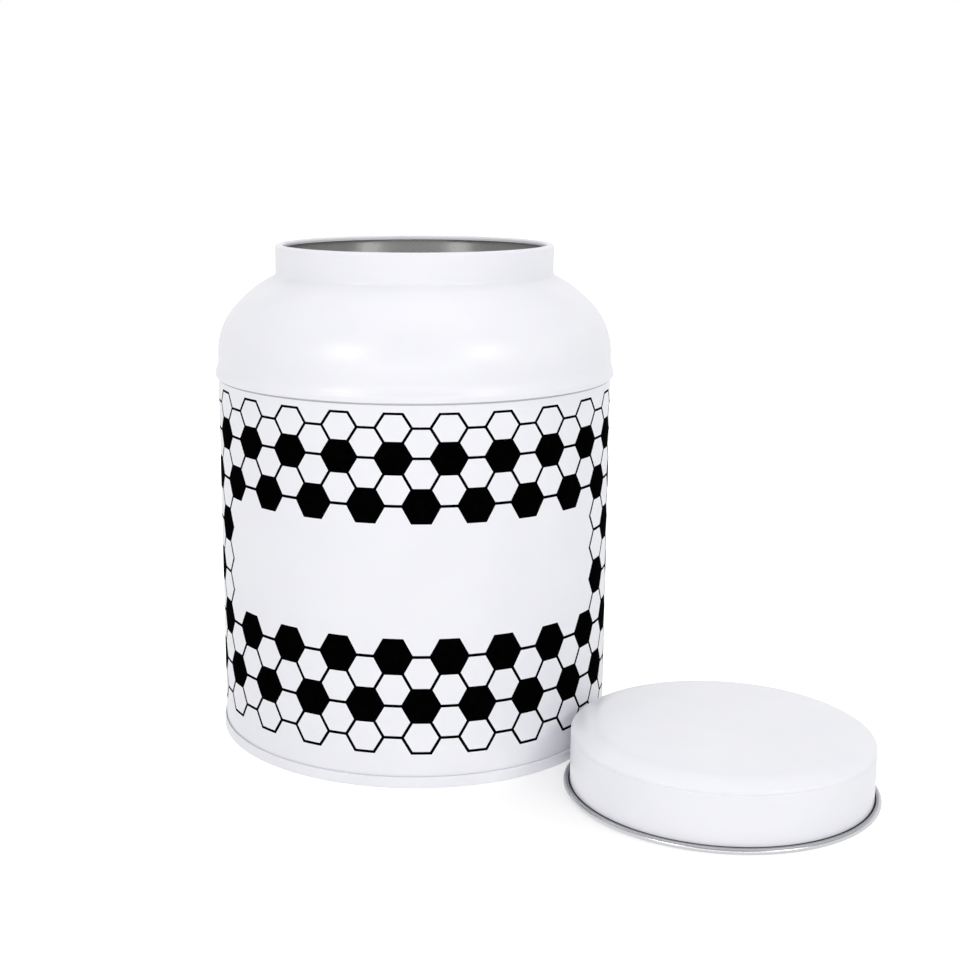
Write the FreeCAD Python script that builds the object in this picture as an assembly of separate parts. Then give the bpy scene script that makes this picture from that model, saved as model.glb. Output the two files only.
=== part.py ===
import FreeCAD, Part
import math
import os

# Tinplate storage canister with a slip lid: a rolled body, a drawn shoulder with its neck,
# a countersunk base and a drawn lid, held together by rolled seams alone.
# Millimetres, +Z up. The origin is on the floor under the jar's axis, and its printed front faces -Y.
# The lid lies on the floor beside the jar, as it does when it is taken off.

# Driving dimensions: sheet and seams
gauge = 0.25                 # thickness of the tinplate
seam_bend = 0.12             # bend radius of the body's two flanges, on the outer face
seam_clearance = 0.05        # play between folded layers

# Driving dimensions: body
body_diameter = 108.0
body_height = 100.1          # floor to the joint line under the shoulder
lock_seam_width = 4.5        # folded strip down the inside of the back
lock_seam_layers = 2         # layers of sheet that the fold adds inside
lock_groove_width = 0.5      # line that the fold leaves on the outside
lock_groove_depth = 0.1
lock_seam_end_margin = 1.0   # bare wall between the fold and each end

# Driving dimensions: base
base_seam_height = 3.0
base_seam_overhang = 0.6     # how far the seam stands out from the body
base_recess = 3.6            # height of the countersunk panel above the floor
base_panel_bend = 1.0
base_fold_inside = 0.05      # inside bend radius of the seam's folds

# Driving dimensions: shoulder, neck and lip
bead_overhang = 0.8          # how far the bead stands out from the body
bead_fold_inside = 0.15      # inside bend radius of the fold under the body's flange
bead_flat = 0.8
bead_crown = 1.6
bead_flare = 6.0             # hollow curve from the bead up to the shoulder's wall
shoulder_wall = 1.75         # upright stretch under the round
shoulder_round = 18.5
shoulder_turn = 40.0         # how far the round turns inward before the flatter crown, in degrees
shoulder_crown = 33.0
neck_diameter = 76.0
neck_fillet = 1.5
neck_straight = 6.6          # upright stretch between the fillet and the lip
lip_width = 2.1              # how far the lip turns into the mouth
lip_height = 1.2             # height of the lip's face inside the mouth
lip_fold_inside = 0.55       # inside bend radius of the lip's two folds

# Driving dimensions: lid
lid_clearance = 0.15         # radial play of the lid on the neck
lid_skirt_height = 14.1      # floor to the middle of the groove under the lid's rounded edge
lid_curl = 1.4               # height of the flattened outward curl that stiffens the rim
lid_curl_flat = 0.6          # straight stretch of the curl, top and bottom
lid_groove_inside = 0.1      # inside bend radius of the groove
lid_groove_turn = 36.0       # slope of the groove's two sides, in degrees
lid_edge_round = 0.9
lid_brow_round = 11.0        # broader round between the edge and the flat top
lid_brow_slope = 36.0        # slope where the brow leaves the rounded edge, in degrees
lid_gap = 0.3                # clear space between the lid's rim and the widest part of the jar
lid_bearing = 55.55          # way from the jar to the lid, in degrees from -Y towards +X

# Sizes that follow
body_radius = body_diameter / 2
base_seam_radius = body_radius + base_seam_overhang
base_foot_bend = gauge + base_fold_inside
bead_radius = body_radius + bead_overhang
bead_bend = gauge + bead_fold_inside
tuck_radius = body_radius + seam_bend + seam_clearance
neck_radius = neck_diameter / 2
lip_bend = gauge + lip_fold_inside
lid_skirt_radius = neck_radius + lid_clearance + gauge
lid_curl_inside = lid_curl / 2 - gauge
lid_groove_bend = gauge + lid_groove_inside
lid_rim_radius = lid_skirt_radius + 2 * lid_curl_inside + lid_curl_flat + gauge
lid_distance = max(bead_radius, base_seam_radius) + lid_gap + lid_rim_radius


class Sheet:
    """Cross-section of a bent sheet, drawn along its outer face from one edge to the other.

    The path is in the plane of radius and height. It is made of straight runs and tangent bends,
    and the sheet's other face lies to the left of it. A heading is in degrees: 0 is outward,
    90 upward and 180 inward. Turns to the left are positive.
    """

    def __init__(self, radius, height, heading):
        self.at = (radius, height)
        self.heading = heading
        self.near = []
        self.far = []
        self.start = (self.at, self.left_of(self.at, heading))

    def left_of(self, point, heading):
        angle = math.radians(heading)
        return point[0] - gauge * math.sin(angle), point[1] + gauge * math.cos(angle)

    def run(self, length):
        angle = math.radians(self.heading)
        end = (self.at[0] + length * math.cos(angle), self.at[1] + length * math.sin(angle))
        self.near.append([self.at, end])
        self.far.append([self.left_of(self.at, self.heading), self.left_of(end, self.heading)])
        self.at = end

    def bend(self, radius, turn):
        """Turns along an arc of the outer face, in arcs that each stay under a half circle."""
        steps = 1 + math.floor(abs(turn) / 180)
        for step in range(steps):
            self.arc(radius, turn / steps)

    def arc(self, radius, turn):
        side = math.copysign(1.0, turn)
        angle = math.radians(self.heading)
        centre = (self.at[0] - side * radius * math.sin(angle), self.at[1] + side * radius * math.cos(angle))
        near = []
        far = []
        for share in (0.0, 0.5, 1.0):
            heading = self.heading + share * turn
            way = math.radians(heading)
            point = (centre[0] + side * radius * math.sin(way), centre[1] - side * radius * math.cos(way))
            near.append(point)
            far.append(self.left_of(point, heading))
        self.near.append(near)
        self.far.append(far)
        self.at = near[-1]
        self.heading += turn

    def solid(self):
        """Turns the section round the axis."""
        outline = list(self.near)
        outline.append([self.near[-1][-1], self.far[-1][-1]])
        outline += [piece[::-1] for piece in reversed(self.far)]
        outline.append([self.start[1], self.start[0]])
        wire = Part.Wire([edge(piece) for piece in outline])
        return Part.Face(wire).revolve(FreeCAD.Vector(0, 0, 0), FreeCAD.Vector(0, 0, 1), 360)


def edge(points):
    """A straight edge through two points of the section, or an arc through three."""
    vectors = [FreeCAD.Vector(radius, 0, height) for radius, height in points]
    if len(vectors) == 2:
        return Part.LineSegment(*vectors).toShape()
    return Part.Arc(*vectors).toShape()


def ring(inner, outer, low, high):
    outside = Part.makeCylinder(outer, high - low, FreeCAD.Vector(0, 0, low))
    return outside.cut(Part.makeCylinder(inner, high - low, FreeCAD.Vector(0, 0, low)))


def back_strip(width, low, high):
    """An upright slab through the wall at the back, as wide as the feature that it cuts out."""
    return Part.makeBox(width, body_diameter, high - low, FreeCAD.Vector(-width / 2, 0, low))


def body_wall():
    """Rolled sheet with a flange at each end and a folded lock seam down the back."""
    lower_flange = base_seam_radius - base_foot_bend
    upper_flange = bead_radius - bead_bend
    bottom = 2 * gauge
    top = body_height + gauge
    sheet = Sheet(lower_flange, bottom, 180)
    sheet.run(lower_flange - body_radius - seam_bend)
    sheet.bend(seam_bend, -90)
    sheet.run(top - bottom - 2 * seam_bend)
    sheet.bend(seam_bend, -90)
    sheet.run(upper_flange - body_radius - seam_bend)
    wall = sheet.solid()

    inside = body_radius - gauge
    fold_low = base_recess + gauge + lock_seam_end_margin
    fold_high = body_height - lock_seam_end_margin
    fold = ring(inside - lock_seam_layers * gauge, body_radius - gauge / 2, fold_low, fold_high)
    fold = fold.common(back_strip(lock_seam_width, fold_low, fold_high))
    groove_low = base_seam_height + lock_seam_end_margin
    groove = ring(body_radius - lock_groove_depth, body_radius + gauge, groove_low, fold_high)
    groove = groove.common(back_strip(lock_groove_width, groove_low, fold_high))
    return wall.fuse(fold).cut(groove).removeSplitter()


def base_end():
    """Countersunk bottom, whose edge is rolled round the body's lower flange."""
    chuck_radius = body_radius - 2 * gauge - seam_clearance
    sheet = Sheet(0, base_recess, 0)
    sheet.run(chuck_radius - base_panel_bend)
    sheet.bend(base_panel_bend, -90)
    sheet.run(base_recess - base_panel_bend - base_foot_bend)
    sheet.bend(base_foot_bend, 90)
    sheet.run(base_seam_radius - chuck_radius - 2 * base_foot_bend)
    sheet.bend(base_foot_bend, 90)
    sheet.run(base_seam_height - 2 * base_foot_bend)
    sheet.bend(base_foot_bend, 90)
    sheet.run(base_seam_radius - base_foot_bend - tuck_radius)
    return sheet.solid()


def shoulder():
    """Drawn dome with a bead rolled under the body's upper flange, a neck and a lip folded inward."""
    lean = math.degrees(math.acos(1 - bead_overhang / (bead_crown + bead_flare)))
    sheet = Sheet(tuck_radius, body_height, 0)
    sheet.run(bead_radius - bead_bend - tuck_radius)
    sheet.bend(bead_bend, 90)
    sheet.run(bead_flat)
    sheet.bend(bead_crown, lean)
    sheet.bend(bead_flare, -lean)
    sheet.run(shoulder_wall)
    sheet.bend(shoulder_round, shoulder_turn)
    crown_centre = sheet.at[0] - shoulder_crown * math.cos(math.radians(shoulder_turn))
    reach = neck_radius + neck_fillet - crown_centre
    sweep = math.degrees(math.acos(reach / (shoulder_crown + neck_fillet)))
    sheet.bend(shoulder_crown, sweep - shoulder_turn)
    sheet.bend(neck_fillet, -sweep)
    sheet.run(neck_straight)
    sheet.bend(lip_bend, 90)
    sheet.run(lip_width - 2 * lip_bend)
    sheet.bend(lip_bend, 90)
    sheet.run(lip_height - lip_bend)
    return sheet.solid()


def lid():
    """Drawn cap with a flattened curl round its rim, a groove under its rounded edge and a flat top."""
    groove_height = 4 * lid_groove_bend * math.sin(math.radians(lid_groove_turn))
    sheet = Sheet(lid_skirt_radius + lid_curl_inside, lid_curl - gauge, 0)
    sheet.run(lid_curl_flat)
    sheet.bend(lid_curl_inside, -180)
    sheet.run(lid_curl_flat)
    sheet.bend(lid_curl_inside, -90)
    sheet.run(lid_skirt_height - lid_curl / 2 - groove_height / 2)
    sheet.bend(lid_groove_bend, lid_groove_turn)
    sheet.bend(lid_groove_bend, -2 * lid_groove_turn)
    sheet.bend(lid_groove_bend, lid_groove_turn)
    sheet.bend(lid_edge_round, 90 - lid_brow_slope)
    sheet.bend(lid_brow_round, lid_brow_slope)
    sheet.run(sheet.at[0])
    bearing = math.radians(lid_bearing)
    place = FreeCAD.Vector(lid_distance * math.sin(bearing), -lid_distance * math.cos(bearing), 0)
    return sheet.solid().translated(place)


os.makedirs("parts", exist_ok=True)
for build in (body_wall, base_end, shoulder, lid):
    piece = build()
    box = piece.optimalBoundingBox(False)
    piece.exportStep(f"parts/{build.__name__}.step")
    print(f"{build.__name__}: {len(piece.Solids)} solid, valid {piece.isValid()}, {piece.Volume:.1f} mm3,",
          f"x {box.XMin:.2f} to {box.XMax:.2f}, y {box.YMin:.2f} to {box.YMax:.2f},",
          f"z {box.ZMin:.2f} to {box.ZMax:.2f}")
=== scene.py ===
import bpy
import math
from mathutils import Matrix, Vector

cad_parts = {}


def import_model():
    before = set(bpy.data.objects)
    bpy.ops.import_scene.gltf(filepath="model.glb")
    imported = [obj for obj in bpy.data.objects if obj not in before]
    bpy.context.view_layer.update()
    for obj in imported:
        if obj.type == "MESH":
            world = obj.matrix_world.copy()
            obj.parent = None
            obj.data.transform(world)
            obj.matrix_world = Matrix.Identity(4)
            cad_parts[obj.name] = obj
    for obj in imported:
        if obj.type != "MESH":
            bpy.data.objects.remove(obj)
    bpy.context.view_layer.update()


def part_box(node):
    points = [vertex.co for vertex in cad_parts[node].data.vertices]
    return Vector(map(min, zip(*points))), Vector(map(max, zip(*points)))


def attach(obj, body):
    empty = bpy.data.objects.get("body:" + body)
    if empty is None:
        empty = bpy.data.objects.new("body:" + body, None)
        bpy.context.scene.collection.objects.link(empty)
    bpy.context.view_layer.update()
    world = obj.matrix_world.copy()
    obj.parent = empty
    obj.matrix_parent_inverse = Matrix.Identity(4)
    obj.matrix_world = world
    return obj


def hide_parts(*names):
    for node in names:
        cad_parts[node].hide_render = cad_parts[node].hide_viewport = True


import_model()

# Sizes in millimetres and degrees, as in the solids.
# Angles round the jar run from the front, -Y, towards +X.
MM = 0.001
jar_axis = (0.0, 0.0)
gauge = 0.25
seam_bend = 0.12
seam_clearance = 0.05
body_radius = 54.0
body_height = 100.1
base_seam_height = 3.0
base_seam_radius = 54.6
base_recess = 3.6
base_panel_bend = 1.0
base_foot_bend = 0.3
bead_radius = 54.8
bead_bend = 0.4
bead_flat = 0.8
bead_crown = 1.6
bead_flare = 6.0
shoulder_wall = 1.75
shoulder_round = 18.5
shoulder_turn = 40.0
shoulder_crown = 33.0
neck_radius = 38.0
neck_fillet = 1.5
neck_straight = 6.6
lip_width = 2.1
lip_height = 1.2
lip_bend = 0.8
lid_skirt_radius = 38.4
lid_skirt_height = 14.1
lid_curl = 1.4
lid_curl_flat = 0.6
lid_groove_bend = 0.35
lid_groove_turn = 36.0
lid_edge_round = 0.9
lid_brow_round = 11.0
lid_brow_slope = 36.0
lid_bare_shaded_margin = 0.05       # unpainted foot of the skirt above the curl, in darker tinplate as painted shade of the crevice
tuck_radius = body_radius + seam_bend + seam_clearance

# Lock seam at the back: a folded strip inside and a fine groove outside
seam_angle = 180.0
seam_end_margin = 1.0
fold_half_width = 2.25
fold_depth = 2 * gauge
fold_corner = 0.2
fold_low = base_recess + gauge + seam_end_margin
fold_high = body_height - seam_end_margin
groove_half_width = 0.25
groove_floor = 0.12
groove_depth = 0.1
groove_low = base_seam_height + seam_end_margin

# Honeycomb print: upright columns of flat-topped hexagons, alternately half a row lower.
# Places in the print are counted in columns and rows. Rows are numbered from the top.
columns = 44
column_pitch = 8.088         # degrees
first_column = 10.03         # angle of column 0
column_swing = 1.93          # degrees by which columns draw together towards the front and the back
column_taper = 0.0386        # degrees a millimetre by which columns spread below the taper's height
taper_height = 55.0
printed_columns = (-22, 19)
hexagon_corner = 2 / 3
hexagon_shoulder = 1 / 3
half_row = 0.5
half_column = 0.5
row_pitch = 8.845
middle_row = 7.1
middle_row_height = 43.08
row_squeeze = 0.01373        # how fast the pitch lessens away from the middle row
row_lean = 0.25              # millimetres by which rows drop at the right
line_width = 0.8
first_row, last_row = 1.0, 10.5
window_columns = (-9, 6)
window_rows = (4.0, 7.5)
black_every = 3
black_rows = (2.0, 0.5)      # rows of black hexagons, as remainders
print_low, print_high = 3.5, 99.6
upper_margin_rows, lower_margin_rows = 1, 2   # rows of bare cells above and below the print

# Fineness of the meshes
arc_step = 9.0
dome_step = 1.25
strip_step = 1 / 6           # columns
ring_segments = 240
wall_steps = 8
flat_tolerance = 0.9995      # cosine between a face and its normals, below which it is shaded flat
weld_steps = 1e8             # steps a metre to which points are rounded when they are joined
column_tolerance = 1e-6

# Places of the finishes in each piece's list. The cut-edge finish is also painted shade in the lid's
# crevice and under the bead.
ENAMEL, TINPLATE, INK, RIM, EDGE_AND_PAINTED_SHADE = 0, 1, 2, 3, 4


class Sheet:
    """Section of a bent sheet, sampled along its outer face.

    The inner face lies to the left of the path.
    """

    def __init__(self, radius, height, heading):
        self.radius = radius
        self.height = height
        self.heading = heading
        self.samples = [(radius, height, heading)]

    def mark(self):
        self.samples.append((self.radius, self.height, self.heading))

    def run(self, length, steps=1):
        way = math.radians(self.heading)
        for step in range(steps):
            self.radius += length / steps * math.cos(way)
            self.height += length / steps * math.sin(way)
            self.mark()

    def bend(self, radius, turn, step=arc_step):
        side = math.copysign(1.0, turn)
        start = math.radians(self.heading)
        centre_radius = self.radius - side * radius * math.sin(start)
        centre_height = self.height + side * radius * math.cos(start)
        steps = math.ceil(abs(turn) / step)
        for count in range(steps):
            self.heading += turn / steps
            way = math.radians(self.heading)
            self.radius = centre_radius + side * radius * math.sin(way)
            self.height = centre_height - side * radius * math.cos(way)
            self.mark()

    def rows(self, angles, inner, centre=jar_axis):
        """One ring of points and normals for each sample, on the outer or the inner face."""
        rings = []
        for radius, height, heading in self.samples:
            way = math.radians(heading)
            side = -1.0 if inner else 1.0
            if inner:
                radius -= gauge * math.sin(way)
                height += gauge * math.cos(way)
            tilt = (side * math.sin(way), -side * math.cos(way))
            ring = []
            for angle in angles:
                place = point(max(radius, 0.0), angle, height, centre)
                ring.append((place, normal(tilt, angle)))
            rings.append(ring)
        return rings


class Skin:
    """Mesh under construction, with a material and a normal for each corner of each face."""

    def __init__(self):
        self.points = []
        self.lookup = {}
        self.faces = []
        self.normals = []
        self.materials = []

    def index(self, place):
        key = tuple(round(value * weld_steps) for value in place)
        if key not in self.lookup:
            self.lookup[key] = len(self.points)
            self.points.append(place)
        return self.lookup[key]

    def face(self, corners, material):
        """Adds a face from points with normals. A face that leaves the smooth surface is shaded flat."""
        kept = []
        for place, bearing in corners:
            number = self.index(place)
            if number not in [other[0] for other in kept]:
                kept.append((number, bearing))
        if len(kept) < 3:
            return
        places = [self.points[number] for number, bearing in kept]
        flat = sum(((a - places[0]).cross(b - places[0]) for a, b in zip(places[1:], places[2:])), Vector())
        if flat.length == 0.0:
            return
        flat.normalize()
        mean = sum((bearing for number, bearing in kept), Vector()).normalized()
        smooth = flat.dot(mean) > flat_tolerance
        self.faces.append([number for number, bearing in kept])
        self.normals += [bearing if smooth else flat for number, bearing in kept]
        self.materials.append(material)

    def surface(self, rings, material, inner=False):
        """Joins each ring to the next one round the axis."""
        for lower, upper in zip(rings, rings[1:]):
            count = len(lower)
            for i in range(count):
                j = (i + 1) % count
                corners = [lower[i], lower[j], upper[j], upper[i]]
                self.face(corners[::-1] if inner else corners, material)

    def edge(self, near, far, material, start):
        """Closes the cut edge of the sheet between its two faces."""
        count = len(near)
        for i in range(count):
            j = (i + 1) % count
            corners = [near[i][0], near[j][0], far[j][0], far[i][0]]
            if start:
                corners.reverse()
            flat = (corners[1] - corners[0]).cross(corners[2] - corners[0])
            if flat.length > 0.0:
                self.face([(corner, flat.normalized()) for corner in corners], material)

    def piece(self, name, body, node, slot, finishes):
        """Makes the mesh a piece that rides a body and replaces a node of the solids."""
        mesh = bpy.data.meshes.new(name)
        mesh.from_pydata(self.points, [], self.faces)
        for finish in finishes:
            mesh.materials.append(finish)
        mesh.polygons.foreach_set("material_index", self.materials)
        mesh.polygons.foreach_set("use_smooth", [True] * len(self.faces))
        mesh.normals_split_custom_set(self.normals)
        mesh.update()
        thing = bpy.data.objects.new(name, mesh)
        bpy.context.scene.collection.objects.link(thing)
        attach(thing, body)
        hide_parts(node)


def point(radius, angle, height, centre=jar_axis):
    way = math.radians(angle)
    x = centre[0] + radius * math.sin(way)
    y = centre[1] - radius * math.cos(way)
    return Vector((MM * x, MM * y, MM * height))


def normal(tilt, angle):
    way = math.radians(angle)
    return Vector((tilt[0] * math.sin(way), -tilt[0] * math.cos(way), tilt[1]))


def turned(angle):
    """The same angle between -180 and 180 degrees."""
    return (angle + 180) % 360 - 180


def degrees_along(length):
    """Angle that a length along the wall takes up."""
    return math.degrees(length / body_radius)


def even_angles(count):
    return [360 * i / count for i in range(count)]


# Honeycomb
inner_share = 1 - line_width / row_pitch
inner_corner = inner_share * hexagon_corner
inner_shoulder = inner_share * hexagon_shoulder
inner_half = inner_share * half_row
print_start = printed_columns[0] - hexagon_corner
print_end = printed_columns[1] + hexagon_corner
bare_start = first_column + column_pitch * print_end
bare_end = first_column + column_pitch * print_start + 360


def even_angle(column):
    """Angle of evenly spaced columns. The bare ones at the back share what the printed ones leave."""
    if column <= print_end:
        return first_column + column_pitch * column
    share = (column - print_end) / (print_start + columns - print_end)
    return bare_start + share * (bare_end - bare_start)


def bare_column(angle):
    """The column at an evenly spaced angle in the bare strip."""
    share = (angle - bare_start) / (bare_end - bare_start)
    return print_end + share * (print_start + columns - print_end)


def angle_at(column, height):
    """Angle round the jar. Columns are closer at the front and the back, and spread a little downward."""
    even = math.radians(even_angle(column))
    taper = column_taper * (taper_height - height)
    return math.degrees(even) - column_swing * math.sin(2 * even) + taper * math.sin(even)


def height_at(row, column):
    """Height above the floor.

    Rows are less tall towards the top and the bottom, and drop a little to the right.
    """
    away = row - middle_row
    lean = row_lean * math.sin(math.radians(even_angle(column)))
    return middle_row_height - row_pitch * away + row_squeeze * away ** 3 - lean


def wall_columns():
    """Every place round the wall, in columns, at which the print, the groove or the fold has a corner."""
    near = [0.0, strip_step, inner_corner - hexagon_shoulder, inner_shoulder, hexagon_shoulder]
    near += [hexagon_corner - inner_shoulder, half_column, inner_corner]
    offsets = near + [1 - offset for offset in near[1:-2]] + [1 - inner_corner]
    found = []
    for column in range(columns):
        found += [(column + offset - print_start) % columns + print_start for offset in offsets]
    closeness = 1 - 2 * math.radians(column_swing)
    for half in (groove_half_width, groove_floor, fold_half_width, fold_half_width + fold_corner):
        reach = degrees_along(half) / closeness
        found.append(bare_column(seam_angle - reach))
        found.append(bare_column(seam_angle + reach))
    return sorted(found)


def from_seam(angle):
    """Distance along the wall from the lock seam."""
    return abs(math.radians(turned(angle - seam_angle))) * body_radius


def wall_radius(angle, height):
    in_groove = from_seam(angle) < (groove_half_width + groove_floor) / 2
    if in_groove and groove_low < height < fold_high:
        return body_radius - groove_depth
    return body_radius


def state(column, row):
    """What the print puts in a cell: nothing, an outlined hexagon or a black one."""
    column = (column + columns // 2) % columns - columns // 2
    printed = printed_columns[0] <= column <= printed_columns[1] and first_row <= row <= last_row
    if not printed:
        return "bare"
    in_window = window_columns[0] <= column <= window_columns[1] and window_rows[0] <= row <= window_rows[1]
    if in_window:
        return "bare"
    return "black" if row % black_every in black_rows else "outlined"


def levels(offset):
    """Rows from a cell's middle up to where each zone of its upper half ends, from the top down.

    The zones are the half line along the flat side, the half line along the sloping side, and the
    three small corners in which one side's line runs on past the end of the next side.
    """
    away = abs(offset)
    outer = half_row * min(1.0, (hexagon_corner - away) / hexagon_shoulder)
    sloping = half_row * (inner_corner - away) / hexagon_shoulder
    if away < inner_shoulder:
        return [outer, min(outer, sloping), inner_half, inner_half, inner_half, inner_half]
    mitre = min(outer, half_row * away / hexagon_shoulder)
    capped = max(0.0, min(mitre, inner_half))
    lower = min(capped, abs(sloping))
    return [outer, mitre, mitre, capped, lower, max(0.0, sloping)]


def cell(skin, column, row, strips):
    """One hexagon of the wall: its inside and the half lines along its six sides."""
    here = state(column, row)
    for (left, left_place), (right, right_place) in zip(strips, strips[1:]):
        beside = column + (1 if left + right > 0 else -1)
        above, below = (column, row - 1), (column, row + 1)
        higher, lower = (beside, row - half_row), (beside, row + half_row)
        zones = [(above, higher), (above,), (higher, above), (higher,), (higher, lower), None,
                 (lower, higher), (lower,), (lower, below), (below,), (below, lower)]
        rises = list(zip(levels(left), levels(right)))
        rises += [(-at_left, -at_right) for at_left, at_right in reversed(rises)]
        for zone, high, low in zip(zones, rises, rises[1:]):
            if zone is None:
                inked = here == "black"
            else:
                inked = here != "bare" or any(state(*other) != "bare" for other in zone)
            outline = [(left_place, low[0]), (right_place, low[1])]
            outline += [(right_place, high[1]), (left_place, high[0])]
            corners = [wall_point(place, row - rise) for place, rise in outline]
            skin.face(corners, INK if inked else ENAMEL)


def wall_point(place, row):
    """Point and normal of the wall's outer face."""
    height = min(print_high, max(print_low, height_at(row, place)))
    angle = angle_at(place, height)
    return point(wall_radius(angle, height), angle, height), normal((1.0, 0.0), angle)


def honeycomb(skin, places):
    for column in range(columns):
        strips = []
        for place in places:
            offset = (place - column + columns / 2) % columns - columns / 2
            if abs(offset) < hexagon_corner + column_tolerance:
                strips.append((offset, place))
        strips.sort()
        row = first_row - upper_margin_rows + half_row * (column % 2)
        while row <= last_row + lower_margin_rows:
            cell(skin, column, row, strips)
            row += 1


def body_wall():
    lower_flange = base_seam_radius - base_foot_bend
    upper_flange = bead_radius - bead_bend
    bottom = 2 * gauge
    top = body_height + gauge
    places = wall_columns()
    low_angles = [angle_at(place, print_low) for place in places]
    high_angles = [angle_at(place, print_high) for place in places]
    skin = Skin()

    lower = Sheet(lower_flange, bottom, 180)
    lower.run(lower_flange - body_radius - seam_bend)
    lower.bend(seam_bend, -90)
    lower.run(print_low - bottom - seam_bend)
    upper = Sheet(body_radius, print_high, 90)
    upper.run(top - seam_bend - print_high)
    upper.bend(seam_bend, -90)
    upper.run(upper_flange - body_radius - seam_bend)
    skin.surface(lower.rows(low_angles, False), ENAMEL)
    honeycomb(skin, places)
    # Above the print: a bare seaming margin, given the darker cut-edge tinplate as painted shade under the
    # bead.
    skin.surface(upper.rows(high_angles, False), EDGE_AND_PAINTED_SHADE)

    inside = lower.rows(low_angles, True)
    for height, folded in fold_heights():
        ring = []
        for angle in (angle_at(place, height) for place in places):
            deep = folded and from_seam(angle) < fold_half_width + fold_corner / 2
            radius = body_radius - gauge - (fold_depth if deep else 0.0)
            ring.append((point(radius, angle, height), normal((-1.0, 0.0), angle)))
        inside.append(ring)
    inside += upper.rows(high_angles, True)
    skin.surface(inside, TINPLATE, inner=True)
    skin.edge(lower.rows(low_angles, False)[0], inside[0], TINPLATE, start=True)
    skin.edge(upper.rows(high_angles, False)[-1], inside[-1], TINPLATE, start=False)
    return skin


def fold_heights():
    """Heights of the rings inside the wall, and whether the lock seam's fold stands out there."""
    rings = [(fold_low, False), (fold_low + fold_corner, True)]
    span = fold_high - fold_low - 2 * fold_corner
    rings += [(fold_low + fold_corner + span * i / wall_steps, True) for i in range(1, wall_steps + 1)]
    return rings + [(fold_high, False)]


def base_end():
    chuck_radius = body_radius - 2 * gauge - seam_clearance
    sheet = Sheet(0, base_recess, 0)
    sheet.run(chuck_radius - base_panel_bend, wall_steps)
    sheet.bend(base_panel_bend, -90)
    sheet.run(base_recess - base_panel_bend - base_foot_bend)
    sheet.bend(base_foot_bend, 90)
    sheet.run(base_seam_radius - chuck_radius - 2 * base_foot_bend)
    sheet.bend(base_foot_bend, 90)
    sheet.run(base_seam_height - 2 * base_foot_bend)
    sheet.bend(base_foot_bend, 90)
    sheet.run(base_seam_radius - base_foot_bend - tuck_radius)
    return lathe(sheet)


def shoulder():
    lean = math.degrees(math.acos(1 - (bead_radius - body_radius) / (bead_crown + bead_flare)))
    sheet = Sheet(tuck_radius, body_height, 0)
    sheet.run(bead_radius - bead_bend - tuck_radius)
    sheet.bend(bead_bend, 90)
    sheet.run(bead_flat)
    sheet.bend(bead_crown, lean)
    sheet.bend(bead_flare, -lean)
    sheet.run(shoulder_wall)
    sheet.bend(shoulder_round, shoulder_turn, dome_step)
    crown_centre = sheet.radius - shoulder_crown * math.cos(math.radians(shoulder_turn))
    reach = neck_radius + neck_fillet - crown_centre
    sweep = math.degrees(math.acos(reach / (shoulder_crown + neck_fillet)))
    sheet.bend(shoulder_crown, sweep - shoulder_turn, dome_step)
    sheet.bend(neck_fillet, -sweep)
    sheet.run(neck_straight)
    sheet.bend(lip_bend, 90)
    sheet.run(lip_width - 2 * lip_bend)
    sheet.bend(lip_bend, 90)
    sheet.run(lip_height - lip_bend)
    return lathe(sheet)


def lid(centre):
    curl_inside = lid_curl / 2 - gauge
    groove_height = 4 * lid_groove_bend * math.sin(math.radians(lid_groove_turn))
    sheet = Sheet(lid_skirt_radius + curl_inside, lid_curl - gauge, 0)
    sheet.run(lid_curl_flat)
    sheet.bend(curl_inside, -180)
    sheet.run(lid_curl_flat)
    sheet.bend(curl_inside, -90)
    # The skirt's foot above the curl is bare metal, darkened as painted shade of the crevice.
    bare = lid_curl / 2 + lid_bare_shaded_margin
    sheet.run(bare)
    rim_rings = len(sheet.samples) - 1
    sheet.run(lid_skirt_height - lid_curl / 2 - groove_height / 2 - bare)
    sheet.bend(lid_groove_bend, lid_groove_turn)
    sheet.bend(lid_groove_bend, -2 * lid_groove_turn)
    sheet.bend(lid_groove_bend, lid_groove_turn)
    sheet.bend(lid_edge_round, 90 - lid_brow_slope)
    sheet.bend(lid_brow_round, lid_brow_slope, dome_step)
    sheet.run(sheet.radius, wall_steps)
    return lathe(sheet, centre, rim_rings)


def lathe(sheet, centre=jar_axis, rim_rings=0):
    """Turns a section round an upright axis.

    Its first rings may be an unpainted curl. The curl's hidden inside, the skirt's foot and the curl's top
    get the darker cut-edge tinplate as painted shade of the crevice. The face of the curl that shows gets a
    brighter, smoother tinplate.
    """
    angles = even_angles(ring_segments)
    near = sheet.rows(angles, False, centre)
    far = sheet.rows(angles, True, centre)
    crevice_rings = min(rim_rings, 1)
    skin = Skin()
    # The curl's inside, the skirt's foot and the curl's top: darker tinplate as painted shade of the
    # crevice.
    skin.surface(near[:rim_rings + 1], EDGE_AND_PAINTED_SHADE)
    skin.surface(near[rim_rings:], ENAMEL)
    skin.surface(far[:crevice_rings + 1], EDGE_AND_PAINTED_SHADE, inner=True)
    skin.surface(far[crevice_rings:rim_rings + 1], RIM, inner=True)
    skin.surface(far[rim_rings:], TINPLATE, inner=True)
    skin.edge(near[0], far[0], EDGE_AND_PAINTED_SHADE, start=True)
    skin.edge(near[-1], far[-1], EDGE_AND_PAINTED_SHADE, start=False)
    return skin


# Middle range of a noise's values
noise_low, noise_high = 0.3, 0.7


def new_material(name):
    material = bpy.data.materials.new(name)
    material.use_nodes = True
    nodes = material.node_tree.nodes
    return material, nodes, material.node_tree.links, nodes["Principled BSDF"]


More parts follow.
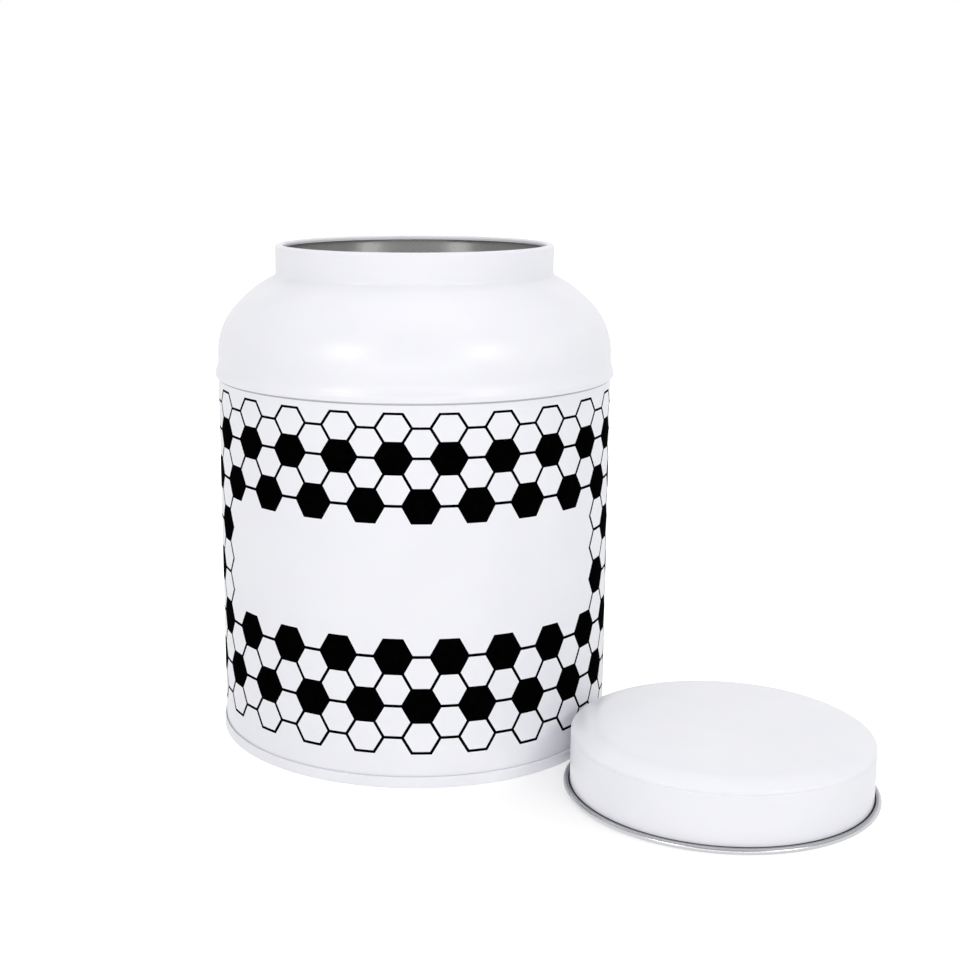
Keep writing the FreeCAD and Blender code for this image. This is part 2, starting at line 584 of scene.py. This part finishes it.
def noise(nodes, links, scale, detail):
    """Noise in the piece's own frame. The scale is in waves a metre."""
    place = nodes.new("ShaderNodeTexCoord")
    texture = nodes.new("ShaderNodeTexNoise")
    texture.inputs["Scale"].default_value = scale
    texture.inputs["Detail"].default_value = detail
    links.new(place.outputs["Object"], texture.inputs["Vector"])
    return texture.outputs["Fac"]


def ramp(nodes, links, factor, stops):
    """Colour ramp through (position, colour) stops."""
    node = nodes.new("ShaderNodeValToRGB")
    elements = node.color_ramp.elements
    while len(elements) < len(stops):
        elements.new(1.0)
    for element, (position, colour) in zip(elements, stops):
        element.position = position
        element.color = (*colour, 1.0)
    links.new(factor, node.inputs["Fac"])
    return node.outputs["Color"]


def spread(nodes, links, factor, low, high, start=noise_low, end=noise_high):
    """The factor from start to end, by default a noise's middle range, spread from low to high."""
    node = nodes.new("ShaderNodeMapRange")
    node.inputs["From Min"].default_value = start
    node.inputs["From Max"].default_value = end
    node.inputs["To Min"].default_value = low
    node.inputs["To Max"].default_value = high
    links.new(factor, node.inputs["Value"])
    return node.outputs["Result"]


def bump(nodes, links, height, strength, distance):
    node = nodes.new("ShaderNodeBump")
    node.inputs["Strength"].default_value = strength
    node.inputs["Distance"].default_value = distance
    links.new(height, node.inputs["Height"])
    return node.outputs["Normal"]


def enamel():
    """Stoved white enamel: slight mottle, orange peel and a little dust under the gloss."""
    material, nodes, links, shader = new_material("white_enamel")
    dull_white, full_white = (0.868, 0.873, 0.917), (0.894, 0.898, 0.938)
    dusty, clean = (0.95, 0.948, 0.945), (1.0, 1.0, 1.0)
    speck_edge, speck_fade = 0.16, 0.2
    mottle = noise(nodes, links, scale=60.0, detail=4.0)
    tone = ramp(nodes, links, mottle, [(noise_low, dull_white), (noise_high, full_white)])
    specks = noise(nodes, links, scale=1400.0, detail=1.0)
    dust = ramp(nodes, links, specks, [(speck_edge, dusty), (speck_fade, clean)])
    mix = nodes.new("ShaderNodeMix")
    mix.data_type = "RGBA"
    mix.blend_type = "MULTIPLY"
    mix.inputs["Factor"].default_value = 1.0
    links.new(tone, mix.inputs["A"])
    links.new(dust, mix.inputs["B"])
    links.new(mix.outputs["Result"], shader.inputs["Base Color"])
    haze = noise(nodes, links, scale=240.0, detail=3.0)
    links.new(spread(nodes, links, haze, low=0.3, high=0.36), shader.inputs["Roughness"])
    peel = noise(nodes, links, scale=900.0, detail=2.0)
    links.new(bump(nodes, links, peel, strength=0.05, distance=0.0002), shader.inputs["Normal"])
    shader.inputs["Coat Weight"].default_value = 0.16
    shader.inputs["Coat Roughness"].default_value = 0.13
    return material


def tinplate(name, dark, bright, roughness, brushed):
    """Bare tinned steel with a fine grain. Brushed round the axis, it spreads reflections up and down."""
    material, nodes, links, shader = new_material(name)
    unevenness = 0.08
    low, high = (1 - unevenness) * roughness, (1 + unevenness) * roughness
    grain = noise(nodes, links, scale=4200.0, detail=2.0)
    patches = noise(nodes, links, scale=90.0, detail=4.0)
    tone = ramp(nodes, links, grain, [(noise_low, dark), (noise_high, bright)])
    links.new(tone, shader.inputs["Base Color"])
    links.new(spread(nodes, links, patches, low, high), shader.inputs["Roughness"])
    links.new(bump(nodes, links, grain, strength=0.08, distance=0.0001), shader.inputs["Normal"])
    shader.inputs["Metallic"].default_value = 1.0
    shader.inputs["Anisotropic"].default_value = brushed
    shader.inputs["Anisotropic Rotation"].default_value = 0.25
    return material


def ink():
    """Black printing ink with slightly uneven density, nearly without gloss."""
    material, nodes, links, shader = new_material("print_ink")
    dense, thin = (0.0003, 0.0003, 0.0004), (0.0012, 0.0012, 0.0014)
    thin_from = 0.75
    density = noise(nodes, links, scale=700.0, detail=4.0)
    tone = ramp(nodes, links, density, [(noise_low, dense), (thin_from, thin)])
    links.new(tone, shader.inputs["Base Color"])
    haze = noise(nodes, links, scale=240.0, detail=3.0)
    links.new(spread(nodes, links, haze, low=0.5, high=0.6), shader.inputs["Roughness"])
    peel = noise(nodes, links, scale=900.0, detail=2.0)
    links.new(bump(nodes, links, peel, strength=0.05, distance=0.0002), shader.inputs["Normal"])
    shader.inputs["Specular IOR Level"].default_value = 0.0003
    return material


# Pieces and their finishes
inside_tin = tinplate("bare_tinplate", dark=(0.43, 0.43, 0.43), bright=(0.58, 0.577, 0.57),
                      roughness=0.4, brushed=0.9)
rim_tin = tinplate("rim_tinplate", dark=(0.6, 0.605, 0.625), bright=(0.69, 0.695, 0.71),
                   roughness=0.24, brushed=0.0)
# Darker tinplate for the real cut edges, also used as painted shade in the lid's crevice, on the skirt's
# foot and under the bead.
cut_edge_and_painted_shade = tinplate("cut_edge_and_painted_shade", dark=(0.42, 0.42, 0.45), bright=(0.5, 0.5, 0.53),
                    roughness=0.4, brushed=0.0)
finishes = [enamel(), inside_tin, ink(), rim_tin, cut_edge_and_painted_shade]
lid_low, lid_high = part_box("lid")
lid_centre = ((lid_low.x + lid_high.x) / 2 / MM, (lid_low.y + lid_high.y) / 2 / MM)
body_wall().piece("jar_wall", "jar", "body_wall", "white_enamel", finishes)
base_end().piece("jar_base", "jar", "base_end", "white_enamel", finishes)
shoulder().piece("jar_shoulder", "jar", "shoulder", "white_enamel", finishes)
lid(lid_centre).piece("lid_cap", "lid", "lid", "white_enamel", finishes)

# Studio, in metres and degrees. The floor is white to the camera and keeps the contact shadows.
floor_size = 6.0
floor_colour = (0.6, 0.6, 0.605, 1.0)
floor_bounce = (0.96, 0.96, 0.96, 1.0)
glow_near, glow_far = 0.42, 1.0
glow_start, glow_end = 0.02, 0.12
shadow_place = (0.05, -0.06, 0.0)
backdrop_top = (0.42, 0.5)   # sines of the elevations between which the white backdrop fades
ambient_colour = (0.97, 0.975, 1.0, 1.0)
ambient_strength = 0.58
lamp_colour = (1.0, 0.988, 0.96)
lamp_aim = (0.0, 0.0, 0.06)
softbox_bearing, softbox_elevation = 41.5, 28.0
softbox_size = (0.32, 0.32)
camera_place = (0.0, -0.4392, 0.1637)
camera_tilt = 77.89
sensor_width = 36.0          # millimetres, as is the focal length
focal_length = 59.846
frame_shift = 0.0682         # share of the frame's width


def floor():
    half = floor_size / 2
    mesh = bpy.data.meshes.new("floor")
    corners = [(-half, -half, 0.0), (half, -half, 0.0), (half, half, 0.0), (-half, half, 0.0)]
    mesh.from_pydata(corners, [], [(0, 1, 2, 3)])
    material, nodes, links, shader = new_material("floor_white")
    nodes.remove(shader)
    output = nodes["Material Output"]
    matt = nodes.new("ShaderNodeBsdfDiffuse")
    matt.inputs["Color"].default_value = floor_colour
    glow = nodes.new("ShaderNodeEmission")
    place = nodes.new("ShaderNodeTexCoord")
    distance = nodes.new("ShaderNodeVectorMath")
    distance.operation = "DISTANCE"
    distance.inputs[1].default_value = shadow_place
    links.new(place.outputs["Object"], distance.inputs[0])
    strength = spread(nodes, links, distance.outputs["Value"], glow_near, glow_far, glow_start, glow_end)
    links.new(strength, glow.inputs["Strength"])
    lit = nodes.new("ShaderNodeAddShader")
    links.new(matt.outputs["BSDF"], lit.inputs[0])
    links.new(glow.outputs["Emission"], lit.inputs[1])
    plain = nodes.new("ShaderNodeBsdfDiffuse")
    plain.inputs["Color"].default_value = floor_bounce
    white = nodes.new("ShaderNodeEmission")
    mirrored = nodes.new("ShaderNodeMixShader")
    links.new(seen_by(nodes, links, "Is Glossy Ray", "Is Transmission Ray"), mirrored.inputs["Fac"])
    links.new(plain.outputs["BSDF"], mirrored.inputs[1])
    links.new(white.outputs["Emission"], mirrored.inputs[2])
    choice = nodes.new("ShaderNodeMixShader")
    links.new(seen_by(nodes, links, "Is Camera Ray"), choice.inputs["Fac"])
    links.new(mirrored.outputs["Shader"], choice.inputs[1])
    links.new(lit.outputs["Shader"], choice.inputs[2])
    links.new(choice.outputs["Shader"], output.inputs["Surface"])
    mesh.materials.append(material)
    thing = bpy.data.objects.new("floor", mesh)
    bpy.context.scene.collection.objects.link(thing)


def seen_by(nodes, links, *kinds):
    """1 for rays of any of the given kinds."""
    path = nodes.new("ShaderNodeLightPath")
    found = path.outputs[kinds[0]]
    for kind in kinds[1:]:
        either = nodes.new("ShaderNodeMath")
        either.operation = "MAXIMUM"
        links.new(found, either.inputs[0])
        links.new(path.outputs[kind], either.inputs[1])
        found = either.outputs["Value"]
    return found


def world():
    """Even light all round, white where it is seen directly, with a low white backdrop in reflections."""
    sky = bpy.data.worlds.new("studio")
    bpy.context.scene.world = sky
    sky.use_nodes = True
    nodes, links = sky.node_tree.nodes, sky.node_tree.links
    background = nodes["Background"]
    background.inputs["Color"].default_value = ambient_colour
    background.inputs["Strength"].default_value = ambient_strength
    white = nodes.new("ShaderNodeBackground")
    white.inputs["Color"].default_value = (1.0, 1.0, 1.0, 1.0)
    white.inputs["Strength"].default_value = 1.0
    place = nodes.new("ShaderNodeTexCoord")
    way = nodes.new("ShaderNodeSeparateXYZ")
    links.new(place.outputs["Generated"], way.inputs["Vector"])
    backdrop = nodes.new("ShaderNodeMath")
    backdrop.operation = "MULTIPLY"
    links.new(seen_by(nodes, links, "Is Glossy Ray", "Is Transmission Ray"), backdrop.inputs[0])
    links.new(spread(nodes, links, way.outputs["Z"], 1.0, 0.0, *backdrop_top), backdrop.inputs[1])
    seen = nodes.new("ShaderNodeMath")
    seen.operation = "MAXIMUM"
    links.new(seen_by(nodes, links, "Is Camera Ray"), seen.inputs[0])
    links.new(backdrop.outputs["Value"], seen.inputs[1])
    choice = nodes.new("ShaderNodeMixShader")
    links.new(seen.outputs["Value"], choice.inputs["Fac"])
    links.new(background.outputs["Background"], choice.inputs[1])
    links.new(white.outputs["Background"], choice.inputs[2])
    links.new(choice.outputs["Shader"], nodes["World Output"].inputs["Surface"])


def softbox(name, bearing, elevation, size, power, mirrored=True):
    """Area lamp a metre from the jar's middle. Its bearing is from the front towards +X."""
    lamp = bpy.data.lights.new(name, "AREA")
    lamp.shape = "RECTANGLE"
    lamp.size, lamp.size_y = size
    lamp.energy = power
    lamp.color = lamp_colour
    thing = bpy.data.objects.new(name, lamp)
    way, rise = math.radians(bearing), math.radians(elevation)
    offset = Vector((math.sin(way) * math.cos(rise), -math.cos(way) * math.cos(rise), math.sin(rise)))
    thing.location = Vector(lamp_aim) + offset
    thing.rotation_euler = (-offset).to_track_quat("-Z", "Y").to_euler()
    thing.visible_glossy = mirrored
    bpy.context.scene.collection.objects.link(thing)


def camera():
    lens = bpy.data.cameras.new("camera")
    lens.sensor_width = sensor_width
    lens.lens = focal_length
    lens.shift_x = frame_shift
    thing = bpy.data.objects.new("camera", lens)
    thing.location = camera_place
    thing.rotation_euler = (math.radians(camera_tilt), 0.0, 0.0)
    bpy.context.scene.collection.objects.link(thing)
    bpy.context.scene.camera = thing


floor()
world()
softbox("softbox_left", -softbox_bearing, softbox_elevation, softbox_size, power=1.52)
softbox("softbox_right", softbox_bearing, softbox_elevation, softbox_size, power=1.4)
softbox("fill_front", bearing=0.0, elevation=9.0, size=(1.1, 0.25), power=0.95)
softbox("fill_above", bearing=150.0, elevation=80.0, size=(0.8, 0.8), power=3.1, mirrored=False)
camera()
bpy.context.scene.view_settings.view_transform = "Standard"
